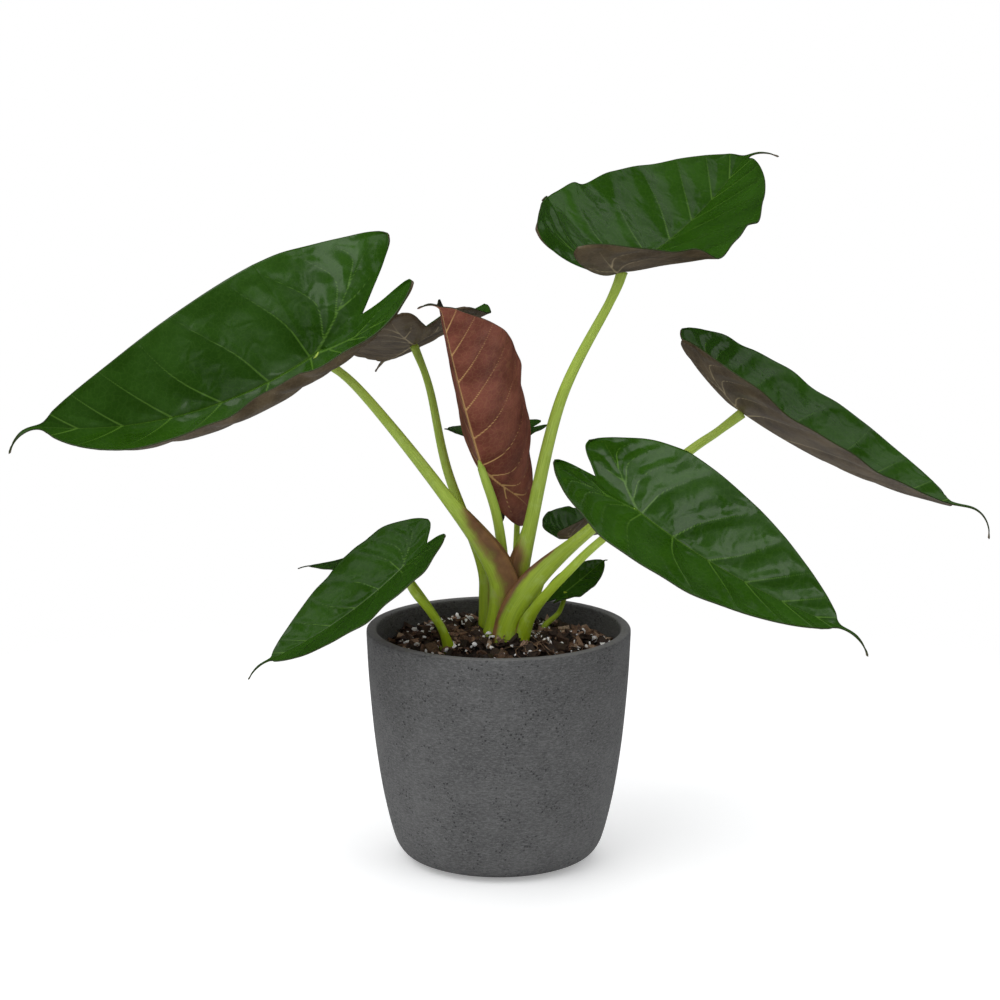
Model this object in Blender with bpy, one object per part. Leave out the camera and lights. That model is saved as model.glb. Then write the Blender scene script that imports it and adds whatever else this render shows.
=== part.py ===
"""Potted alocasia: a fibre-clay pot, its soil, a crown with an offset, and eleven leaves on their stalks.

Metres and degrees, +Z up. The origin is the centre of the pot's foot, on the surface it stands on.
"""

import math

import bpy
import numpy as np
from mathutils import Matrix, Vector

# ---------------------------------------------------------------- driving dimensions
POT_HEIGHT = 0.170
POT_RIM_RADIUS = 0.095
POT_WALL = 0.0075
POT_FLOOR = 0.010
RIM_ROUNDING = 0.0016
SEGMENTS = 48

SOIL_EDGE_HEIGHT = 0.1525
SOIL_MIDDLE_HEIGHT = 0.1570
SOIL_SEGMENTS = 36

CROWN_TOP = 0.1580
CROWN_RADIUS = 0.0285
CROWN_CENTRE = (0.003, -0.005)
CROWN_DEPTH = 0.036
OFFSET_TOP = 0.1560
OFFSET_RADIUS = 0.014
OFFSET_CENTRE = (-0.039, -0.020)
OFFSET_DEPTH = 0.022

GAP = 0.0003
BLADE_THICKNESS = 0.0012
STALK_SIDES = 10

# Outer wall of the pot, foot to rim: (height, radius) as shares of the full height and rim radius.
POT_WALL_CURVE = (
    (0.000, 0.579),
    (0.012, 0.655),
    (0.030, 0.720),
    (0.060, 0.766),
    (0.100, 0.798),
    (0.180, 0.837),
    (0.300, 0.883),
    (0.450, 0.925),
    (0.600, 0.956),
    (0.800, 0.985),
    (0.976, 1.000),
)

# Half outline of a blade, as shares of its length: forward of the stalk's junction, and out from the midrib.
# A point forward of the junction is a share of the blade before its drip tip.
BODY_OUTLINE = (
    (1.000, 0.016),
    (0.960, 0.052),
    (0.880, 0.110),
    (0.760, 0.175),
    (0.610, 0.237),
    (0.440, 0.284),
    (0.250, 0.312),
    (0.070, 0.318),
    (-0.080, 0.303),
    (-0.200, 0.266),
    (-0.300, 0.208),
    (-0.355, 0.155),
    (-0.375, 0.118),
)
# The inner edge of a lobe, from its tip to the bottom of the notch between the lobes.
LOBE_INNER_EDGE = ((-0.375, 0.118), (-0.362, 0.085), (-0.320, 0.055), (-0.260, 0.028), (-0.200, 0.000))
FULL_WIDTH = 0.318
FULL_LOBE = 0.375
FULL_NOTCH = 0.200

COLOURS = {
    "fired_clay": ((0.075, 0.075, 0.078), 0.85),
    "soil_mix": ((0.035, 0.022, 0.014), 0.95),
    "crown_tissue": ((0.16, 0.20, 0.05), 0.60),
    "stalk_green": ((0.26, 0.40, 0.06), 0.45),
    "blade_green": ((0.018, 0.065, 0.012), 0.38),
    "blade_purple": ((0.085, 0.040, 0.032), 0.50),
}


def leaf(name, junction, length, heading, pitch, roll, base, stalk, stalk_path, **shape):
    """One leaf: where its blade is, how it bends, and the stalk that carries it.

    heading, pitch and roll turn the blade's frame at the junction. In shape, fold and curl are each half's
    angle at the midrib and its added turn at the margin, bend and back curve the midrib before and behind
    the junction, and tip_bend and tip_turn hook the drip tip.
    """
    values = dict(
        width=0.32, lobe=0.375, notch=0.20, tail=0.10, bend=0, back=0, side=0, twist=0,
        fold_right=10, fold_left=10, curl_right=0, curl_left=0, lobe_right=0, lobe_left=0,
        tip_bend=0, tip_turn=0, finish="blade_green", grid=(14, 4),
    )
    values.update(shape)
    values.update(name=name, junction=junction, length=length, heading=heading, pitch=pitch, roll=roll)
    values.update(base=base, stalk=stalk, stalk_path=stalk_path)
    return values


# stalk holds the radius at the crown, at a third of the way up, and at the junction.
LEAVES = (
    leaf(
        "left", (-0.1278, -0.030, 0.3723), 0.233, 175, -35, 34,
        (-0.004, -0.011), (0.0085, 0.0050, 0.0030),
        ((0.001, -0.014, 0.193), (-0.007, -0.016, 0.223), (-0.046, -0.022, 0.282), (-0.098, -0.027, 0.348)),
        width=0.331, lobe=0.416, notch=0.193, tail=0.133, bend=59, back=78, side=-2, twist=4,
        fold_right=50, fold_left=0, curl_left=68, lobe_right=-41, lobe_left=-16,
        tip_bend=-82, tip_turn=-24, grid=(18, 5),
    ),
    leaf(
        "top_right", (0.0871, 0.000, 0.4275), 0.230, 59.8, 6.5, 21,
        (0.012, -0.006), (0.0072, 0.0050, 0.0032),
        ((0.015, -0.005, 0.202), (0.022, -0.004, 0.242), (0.044, -0.003, 0.336), (0.079, -0.001, 0.407)),
        width=0.335, lobe=0.423, notch=0.06, tail=0.112, bend=24.5, back=76, side=10.8, twist=9.5,
        fold_right=-6, fold_left=64, curl_right=-5, curl_left=-5, lobe_right=19, lobe_left=14,
        tip_bend=-60, tip_turn=70, grid=(18, 5),
    ),
    leaf(
        "right", (0.1735, 0.010, 0.3242), 0.224, 8.9, -35.4, 26,
        (0.003, -0.027), (0.0062, 0.0048, 0.0030),
        ((0.015, -0.022, 0.190), (0.052, -0.011, 0.232), (0.130, 0.000, 0.294), (0.155, 0.005, 0.311)),
        width=0.378, lobe=0.325, notch=0.06, tail=0.20, bend=28.5, back=58, side=2, twist=-4,
        fold_right=-13, fold_left=56, tip_bend=-91, tip_turn=4, grid=(18, 5),
    ),
    leaf(
        "front_right", (0.0947, -0.100, 0.2758), 0.188, -29.8, -31.6, 4,
        (0.015, -0.024), (0.0048, 0.0035, 0.0026),
        ((0.024, -0.039, 0.190), (0.053, -0.070, 0.232), (0.074, -0.087, 0.256)),
        width=0.291, lobe=0.336, notch=0.206, tail=0.155, bend=16, back=11, side=-15, twist=-2,
        fold_right=-9, fold_left=61, lobe_right=2, lobe_left=-30, tip_bend=-41, tip_turn=32, grid=(18, 5),
    ),
    leaf(
        "front_left", (-0.0670, -0.060, 0.2267), 0.135, 197, -42, 19,
        (-0.034, -0.028), (0.0038, 0.0030, 0.0024),
        ((-0.039, -0.036, 0.175), (-0.049, -0.044, 0.193), (-0.060, -0.052, 0.209)),
        width=0.350, lobe=0.277, notch=0.178, tail=0.158, bend=6, back=19, side=30, twist=2,
        fold_right=6, fold_left=25, lobe_right=-6, lobe_left=-3, tip_bend=-14, tip_turn=-42, grid=(14, 4),
    ),
    leaf(
        "behind_front_left", (-0.0786, 0.010, 0.2224), 0.078, 152, -21, 23,
        (-0.044, -0.012), (0.0030, 0.0024, 0.0018),
        ((-0.048, -0.007, 0.176), (-0.058, 0.002, 0.192), (-0.070, 0.007, 0.208)),
        width=0.323, bend=15, twist=-21, side=4, fold_right=-6, fold_left=9,
        tip_bend=-3, tip_turn=-31, tail=0.115, grid=(10, 3),
    ),
    leaf(
        "back_left", (-0.0614, 0.060, 0.3653), 0.192, 102.3, -16, -3,
        (-0.014, 0.004), (0.0048, 0.0042, 0.0026),
        ((-0.013, 0.013, 0.186), (-0.015, 0.023, 0.214), (-0.037, 0.041, 0.276), (-0.050, 0.051, 0.335)),
        width=0.322, lobe=0.400, notch=0.26, tail=0.112, bend=7, back=62, side=5, twist=-10,
        fold_right=32, fold_left=2, lobe_right=-31, lobe_left=-9, tip_bend=-31, tip_turn=-20, grid=(14, 4),
    ),
    leaf(
        "young_centre", (-0.0120, -0.010, 0.2880), 0.194, -109, 53, -19,
        (0.001, 0.008), (0.0052, 0.0040, 0.0032),
        ((0.004, 0.004, 0.196), (0.003, 0.001, 0.222), (-0.002, -0.004, 0.255)),
        width=0.328, lobe=0.419, notch=0.201, tail=0.096, bend=-11, back=5, side=-5, twist=19,
        fold_right=66, fold_left=11, curl_right=29, curl_left=82, lobe_right=32, lobe_left=6,
        tip_bend=-23, tip_turn=73, finish="blade_purple", grid=(16, 6),
    ),
    leaf(
        "small_back", (0.0122, 0.100, 0.2936), 0.061, 199, -8, 5,
        (0.006, 0.020), (0.0030, 0.0024, 0.0018),
        ((0.010, 0.036, 0.187), (0.013, 0.058, 0.218), (0.014, 0.082, 0.260)),
        width=0.319, lobe=0.383, bend=33, back=28, side=-8, twist=8, fold_right=8, fold_left=5,
        tip_bend=-12, tip_turn=-50, tail=0.09, grid=(10, 3),
    ),
    leaf(
        "small_back_right", (0.0544, 0.050, 0.2241), 0.082, 51, -5, -18,
        (0.017, 0.011), (0.0030, 0.0024, 0.0018),
        ((0.027, 0.024, 0.184), (0.036, 0.037, 0.203)),
        width=0.326, lobe=0.367, bend=5, back=33, twist=-6, fold_right=45, fold_left=27, curl_right=40,
        lobe_left=6, grid=(10, 3),
    ),
    leaf(
        "small_right", (0.0495, 0.050, 0.1835), 0.046, 41, 24, -17,
        (0.025, 0.000), (0.0028, 0.0022, 0.0017),
        ((0.033, 0.012, 0.166), (0.045, 0.034, 0.169)),
        width=0.321, bend=5, back=6, twist=-22, fold_right=15, fold_left=13, lobe_right=19,
        tip_bend=-47, grid=(10, 3),
    ),
)
OFFSET_LEAVES = ("front_left", "behind_front_left")


# ---------------------------------------------------------------- helpers
def clear_scene():
    for thing in list(bpy.data.objects):
        bpy.data.objects.remove(thing, do_unlink=True)


def material(name):
    made = bpy.data.materials.get(name)
    if made is None:
        colour, roughness = COLOURS[name]
        made = bpy.data.materials.new(name)
        made.use_nodes = True
        shader = made.node_tree.nodes["Principled BSDF"]
        shader.inputs["Base Color"].default_value = (*colour, 1.0)
        shader.inputs["Roughness"].default_value = roughness
        shader.inputs["Metallic"].default_value = 0.0
    return made


def new_object(name, points, edges, faces, finish):
    mesh = bpy.data.meshes.new(name)
    mesh.from_pydata([tuple(map(float, point)) for point in points], edges, faces)
    mesh.update()
    made = bpy.data.objects.new(name, mesh)
    bpy.context.scene.collection.objects.link(made)
    mesh.materials.append(material(finish))
    return made


def smooth_curve(points, steps):
    """Points on a Catmull-Rom curve through the given points, the last one included."""
    points = np.array(points, float)
    ends = np.vstack([2 * points[0] - points[1], points, 2 * points[-1] - points[-2]])
    found = []
    for i in range(1, len(ends) - 2):
        before, first, second, after = ends[i - 1], ends[i], ends[i + 1], ends[i + 2]
        for t in np.arange(steps) / steps:
            found.append(
                first
                + 0.5 * t * (second - before)
                + 0.5 * t**2 * (2 * before - 5 * first + 4 * second - after)
                + 0.5 * t**3 * (3 * first - before - 3 * second + after)
            )
    found.append(points[-1])
    return np.array(found)


def evenly_along(curve, shares):
    """Points on the curve at these shares of its length."""
    steps = np.linalg.norm(np.diff(curve, axis=0), axis=1)
    reached = np.concatenate([[0.0], np.cumsum(steps)])
    reached /= reached[-1]
    return np.stack([np.interp(shares, reached, curve[:, axis]) for axis in range(curve.shape[1])], 1)


def smooth_step(share):
    share = np.clip(share, 0.0, 1.0)
    return share * share * (3.0 - 2.0 * share)


def turned(name, profile, segments, finish):
    """A closed body turned about Z from (radius, height) points that start and end on the axis."""
    points = [(radius, 0.0, height) for radius, height in profile]
    edges = [(i, i + 1) for i in range(len(points) - 1)]
    made = new_object(name, points, edges, [], finish)
    screw = made.modifiers.new("turn", "SCREW")
    screw.axis = "Z"
    screw.steps = segments
    screw.render_steps = segments
    screw.use_merge_vertices = True
    screw.merge_threshold = 0.00001
    screw.use_smooth_shade = True
    return made


# ---------------------------------------------------------------- pot and soil
def wall_radius(height):
    """The pot's outer radius at a height, from its wall curve."""
    curve = smooth_curve(POT_WALL_CURVE, 6)
    return POT_RIM_RADIUS * float(np.interp(height / POT_HEIGHT, curve[:, 0], curve[:, 1]))


def make_pot():
    profile = [(0.0, POT_FLOOR)]
    inner_heights = (POT_FLOOR, POT_FLOOR + 0.006, 0.030, 0.060, 0.100, 0.140)
    for height in inner_heights:
        inset = POT_WALL + (0.012 if height == POT_FLOOR else 0.0)
        profile.append((wall_radius(height) - inset, height))
    inner_rim = POT_RIM_RADIUS - POT_WALL
    profile.append((inner_rim, POT_HEIGHT - RIM_ROUNDING))
    profile.append((inner_rim + RIM_ROUNDING, POT_HEIGHT))
    profile.append((POT_RIM_RADIUS - RIM_ROUNDING, POT_HEIGHT))
    for height_share, radius_share in reversed(POT_WALL_CURVE):
        profile.append((POT_RIM_RADIUS * radius_share, POT_HEIGHT * height_share))
    profile.append((0.0, 0.0))
    return turned("pot", profile, SEGMENTS, "fired_clay")


def cutter(name, radius, centre, bottom, top):
    """A plug-shaped cutter that leaves a pocket in the soil, a gap wider than what it holds."""
    points, faces = prism(radius + GAP, centre, bottom - GAP, top)
    made = new_object(name, points, [], faces, "soil_mix")
    made.hide_render = True
    made.display_type = "WIRE"
    return made


def prism(radius, centre, bottom, top, sides=24):
    angles = [2 * math.pi * i / sides for i in range(sides)]
    ring = [(centre[0] + radius * math.cos(a), centre[1] + radius * math.sin(a)) for a in angles]
    points = [(x, y, bottom) for x, y in ring] + [(x, y, top) for x, y in ring]
    faces = [(i, (i + 1) % sides, sides + (i + 1) % sides, sides + i) for i in range(sides)]
    faces.append(tuple(range(sides - 1, -1, -1)))
    faces.append(tuple(range(sides, 2 * sides)))
    return points, faces


def make_soil():
    profile = [(0.0, SOIL_MIDDLE_HEIGHT)]
    for share in (0.5, 0.75, 0.9, 1.0):
        radius = share * (wall_radius(SOIL_EDGE_HEIGHT) - POT_WALL - 2 * GAP)
        drop = smooth_step(share) * (SOIL_MIDDLE_HEIGHT - SOIL_EDGE_HEIGHT)
        profile.append((radius, SOIL_MIDDLE_HEIGHT - drop))
    for height in (0.140, 0.100, 0.060, 0.030, POT_FLOOR + 0.006):
        profile.append((wall_radius(height) - POT_WALL - 2 * GAP, height))
    bottom = POT_FLOOR + GAP
    profile.append((wall_radius(POT_FLOOR) - POT_WALL - 0.013, bottom))
    profile.append((0.0, bottom))
    soil = turned("potting_soil", profile, SOIL_SEGMENTS, "soil_mix")
    pockets = (
        cutter("crown_pocket", CROWN_RADIUS, CROWN_CENTRE, CROWN_TOP - CROWN_DEPTH, 0.20),
        cutter("offset_pocket", OFFSET_RADIUS, OFFSET_CENTRE, OFFSET_TOP - OFFSET_DEPTH, 0.20),
    )
    for pocket in pockets:
        cut = soil.modifiers.new(pocket.name, "BOOLEAN")
        cut.operation = "DIFFERENCE"
        cut.object = pocket
    return soil


def make_crown(name, radius, centre, top, depth):
    """The short stem that the stalks stand on: a plug with a flat top just clear of the soil."""
    points, faces = prism(radius, centre, top - depth, top)
    return new_object(name, points, [], faces, "crown_tissue")


# ---------------------------------------------------------------- blades
def flat_outline(spec):
    """The half blade's outer margin and its inner boundary, both from the drip tip to the lobe's tip."""
    tail = spec["tail"]
    outer = [(1.0, 0.0), (1.0 - 0.5 * tail, 0.006)]
    for forward, out in BODY_OUTLINE:
        along = forward * (1.0 - tail) if forward > 0 else forward * spec["lobe"] / FULL_LOBE
        outer.append((along, out))
    inner = []
    for forward, out in LOBE_INNER_EDGE:
        share = (forward + FULL_LOBE) / (FULL_LOBE - FULL_NOTCH)
        inner.append((-spec["lobe"] + share * (spec["lobe"] - spec["notch"]), out))
    wide = np.array([1.0, spec["width"] / FULL_WIDTH])
    outer = smooth_curve(outer, 12) * wide
    edge = smooth_curve(inner, 12)[::-1] * wide
    midline = np.stack([np.linspace(1.0, -spec["notch"], 80), np.zeros(80)], 1)
    return outer, np.vstack([midline, edge[1:]])


def blade_frame(spec):
    """Forward, right and upward unit vectors of the blade at its junction."""
    heading, pitch, roll = (math.radians(spec[key]) for key in ("heading", "pitch", "roll"))
    forward = np.array(
        [math.cos(pitch) * math.cos(heading), math.cos(pitch) * math.sin(heading), math.sin(pitch)]
    )
    level = np.array([math.sin(heading), -math.cos(heading), 0.0])
    upright = np.cross(level, forward)
    right = level * math.cos(roll) + upright * math.sin(roll)
    up = upright * math.cos(roll) - level * math.sin(roll)
    return forward, right, up


def midrib(spec, steps=160):
    """Stations along the midrib with their place, and the right and up vectors there."""
    forward, right, up = blade_frame(spec)
    stations = np.linspace(-0.6, 1.0, steps)
    hook = smooth_step((stations - 0.84) / 0.16)
    bending = np.where(stations >= 0, spec["bend"] * stations, spec["back"] * stations)
    bend = np.radians(bending + spec["tip_bend"] * hook)
    turn = np.radians(np.where(stations >= 0, spec["side"] * stations, 0.0) + spec["tip_turn"] * hook)
    twist = np.radians(spec["twist"] * stations)[:, None]
    tangent = (
        (np.cos(bend) * np.cos(turn))[:, None] * forward
        + np.sin(bend)[:, None] * up
        + (np.cos(bend) * np.sin(turn))[:, None] * right
    )
    normal = np.cos(bend)[:, None] * up - np.sin(bend)[:, None] * forward
    across = np.cross(tangent, normal)
    across /= np.linalg.norm(across, axis=1)[:, None]
    normal = np.cross(across, tangent)
    places = np.zeros((steps, 3))
    step = (stations[1] - stations[0]) * spec["length"]
    places[1:] = np.cumsum((tangent[1:] + tangent[:-1]) / 2 * step, axis=0)
    at_junction = np.array([np.interp(0.0, stations, places[:, axis]) for axis in range(3)])
    places += np.array(spec["junction"]) - at_junction
    turned_across = across * np.cos(twist) + normal * np.sin(twist)
    turned_normal = normal * np.cos(twist) - across * np.sin(twist)
    return stations, places, turned_across, turned_normal


def blade_points(spec, rib, flat, side):
    """Bend flat (forward, out) shares of one half, side +1 or -1, into place."""
    stations, places, across, normal = rib
    forward, out = flat[..., 0], flat[..., 1]
    place, right, up = (
        np.stack([np.interp(forward, stations, part[:, axis]) for axis in range(3)], -1)
        for part in (places, across, normal)
    )
    hand = "right" if side > 0 else "left"
    back = np.clip(-forward / spec["lobe"], 0.0, 1.0)
    fold = np.radians(spec["fold_" + hand] + spec["lobe_" + hand] * back)
    reach = out * spec["length"]
    turn_rate = math.radians(spec["curl_" + hand] or 0.01) / (spec["width"] * spec["length"])
    level = (np.sin(fold + turn_rate * reach) - np.sin(fold)) / turn_rate
    rise = (np.cos(fold) - np.cos(fold + turn_rate * reach)) / turn_rate
    return place + right * (side * level)[..., None] + up * rise[..., None]


def make_blade(spec):
    along, over = spec["grid"]
    outer, inner = flat_outline(spec)
    shares = np.linspace(0.0, 1.0, along + 1)
    margin = evenly_along(outer, shares)
    middle = evenly_along(inner, shares)
    rib = midrib(spec)
    points, faces = [], []
    for side in (1, -1):
        start = len(points)
        mix = np.linspace(0.0, 1.0, over + 1)[None, :, None]
        flat = middle[:, None, :] * (1.0 - mix) + margin[:, None, :] * mix
        placed = blade_points(spec, rib, flat, side)
        points.extend(placed.reshape(-1, 3))
        for i in range(along):
            for j in range(over):
                corner = start + i * (over + 1) + j
                face = (corner, corner + 1, corner + over + 2, corner + over + 1)
                faces.append(face if side < 0 else face[::-1])
    blade = new_object("blade_" + spec["name"], points, [], faces, spec["finish"])
    weld = blade.modifiers.new("weld", "WELD")
    weld.merge_threshold = 0.00002
    thicken = blade.modifiers.new("thickness", "SOLIDIFY")
    thicken.thickness = BLADE_THICKNESS
    thicken.offset = 0.0
    for polygon in blade.data.polygons:
        polygon.use_smooth = True
    return blade


# ---------------------------------------------------------------- stalks
def stalk_end(spec):
    """Where the stalk stops under the blade, and the plane it stops in."""
    forward, right, up = blade_frame(spec)
    lean = math.radians(spec["fold_left"] - spec["fold_right"]) / 2
    half = math.radians(spec["fold_left"] + spec["fold_right"]) / 2
    under = up * math.cos(lean) + right * math.sin(lean)
    clearance = BLADE_THICKNESS / 2 / math.cos(half) + 1.5 * GAP
    return np.array(spec["junction"]) - under * clearance, under


def make_stalk(spec):
    top, under = stalk_end(spec)
    at_offset = spec["name"] in OFFSET_LEAVES
    foot = (*spec["base"], (OFFSET_TOP if at_offset else CROWN_TOP) + GAP)
    path = smooth_curve([foot, *spec["stalk_path"], tuple(top)], 8)
    length = float(np.linalg.norm(np.diff(path, axis=0), axis=1).sum())
    count = max(6, round(length / 0.022))
    centres = evenly_along(path, np.linspace(0.0, 1.0, count + 1))
    base_radius, low_radius, top_radius = spec["stalk"]
    points, faces = [], []
    across = Vector((1.0, 0.0, 0.0))
    for i, centre in enumerate(centres):
        share = i / count
        if i == 0:
            facing = Vector((0.0, 0.0, 1.0))
        elif i == count:
            facing = Vector(under)
        else:
            facing = Vector(centres[i + 1] - centres[i - 1]).normalized()
        across = (across - facing * across.dot(facing)).normalized()
        radius = float(np.interp(share, (0.0, 0.33, 1.0), (base_radius, low_radius, top_radius)))
        for k in range(STALK_SIDES):
            turn = Matrix.Rotation(2 * math.pi * k / STALK_SIDES, 3, facing)
            points.append(Vector(centre) + radius * (turn @ across))
    for i in range(count):
        for k in range(STALK_SIDES):
            low, high = i * STALK_SIDES, (i + 1) * STALK_SIDES
            after = (k + 1) % STALK_SIDES
            faces.append((low + k, low + after, high + after, high + k))
    faces.append(tuple(range(STALK_SIDES - 1, -1, -1)))
    faces.append(tuple(range(count * STALK_SIDES, (count + 1) * STALK_SIDES)))
    stalk = new_object("stalk_" + spec["name"], points, [], faces, "stalk_green")
    stalk.data.shade_smooth()
    stalk.data.set_sharp_from_angle(angle=math.radians(50))
    return stalk


def main():
    clear_scene()
    make_pot()
    make_soil()
    make_crown("crown", CROWN_RADIUS, CROWN_CENTRE, CROWN_TOP, CROWN_DEPTH)
    make_crown("offset_crown", OFFSET_RADIUS, OFFSET_CENTRE, OFFSET_TOP, OFFSET_DEPTH)
    for spec in LEAVES:
        make_stalk(spec)
        make_blade(spec)


main()
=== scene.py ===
"""Potted alocasia, finished for looks: an unglazed pot, bark and perlite mix, stalks and veined blades."""

import math
import random

import bpy
import numpy as np
from mathutils import Matrix, Vector


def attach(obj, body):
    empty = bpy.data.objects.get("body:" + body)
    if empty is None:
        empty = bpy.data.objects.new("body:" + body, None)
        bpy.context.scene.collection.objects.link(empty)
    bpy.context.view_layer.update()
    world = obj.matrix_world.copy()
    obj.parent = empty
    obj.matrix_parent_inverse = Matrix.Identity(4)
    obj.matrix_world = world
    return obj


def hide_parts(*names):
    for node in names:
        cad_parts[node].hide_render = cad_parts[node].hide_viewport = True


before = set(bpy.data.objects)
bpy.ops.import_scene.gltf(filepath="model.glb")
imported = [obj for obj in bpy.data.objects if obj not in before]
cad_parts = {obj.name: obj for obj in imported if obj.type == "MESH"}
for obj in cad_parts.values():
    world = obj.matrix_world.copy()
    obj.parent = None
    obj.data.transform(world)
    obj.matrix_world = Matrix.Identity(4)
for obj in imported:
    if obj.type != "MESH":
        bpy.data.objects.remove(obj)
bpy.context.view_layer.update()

# ---------------------------------------------------------------- sizes, in metres and degrees
POT_HEIGHT = 0.170
POT_RIM_RADIUS = 0.095
POT_WALL = 0.0075
POT_WALL_CURVE = (
    (0.000, 0.579),
    (0.012, 0.655),
    (0.030, 0.720),
    (0.060, 0.766),
    (0.100, 0.798),
    (0.180, 0.837),
    (0.300, 0.883),
    (0.450, 0.925),
    (0.600, 0.956),
    (0.800, 0.985),
    (0.976, 1.000),
)
SOIL_EDGE_HEIGHT = 0.1515
SOIL_MIDDLE_HEIGHT = 0.1655
SOIL_RADIUS = 0.0865
CROWN_TOP = 0.1580
OFFSET_TOP = 0.1560
BLADE_THICKNESS = 0.0009
MESH_STEP = 0.0013

BODY_OUTLINE = (
    (1.000, 0.011),
    (0.960, 0.052),
    (0.880, 0.110),
    (0.760, 0.175),
    (0.610, 0.237),
    (0.440, 0.284),
    (0.250, 0.312),
    (0.070, 0.318),
    (-0.080, 0.303),
    (-0.200, 0.266),
    (-0.300, 0.208),
    (-0.355, 0.155),
    (-0.375, 0.118),
)
LOBE_INNER_EDGE = ((-0.375, 0.118), (-0.362, 0.085), (-0.320, 0.055), (-0.260, 0.028), (-0.200, 0.000))
FULL_WIDTH = 0.318
FULL_LOBE = 0.375
FULL_NOTCH = 0.200


def leaf(name, junction, length, heading, pitch, roll, base, stalk, stalk_path, **shape):
    """One leaf: where its blade is, how it bends, and the stalk that carries it."""
    values = dict(
        width=0.32, lobe=0.375, notch=0.20, tail=0.10, bend=0, back=0, side=0, twist=0,
        fold_right=10, fold_left=10, curl_right=0, curl_left=0, lobe_right=0, lobe_left=0,
        tip_bend=0, tip_turn=0, finish="green", wave=0.0014, waves=3.0, quilt=0.0014, sheath=None, run=0.0,
    )
    values.update(shape)
    values.update(name=name, junction=junction, length=length, heading=heading, pitch=pitch, roll=roll)
    values.update(base=base, stalk=stalk, stalk_path=stalk_path)
    return values


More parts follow.
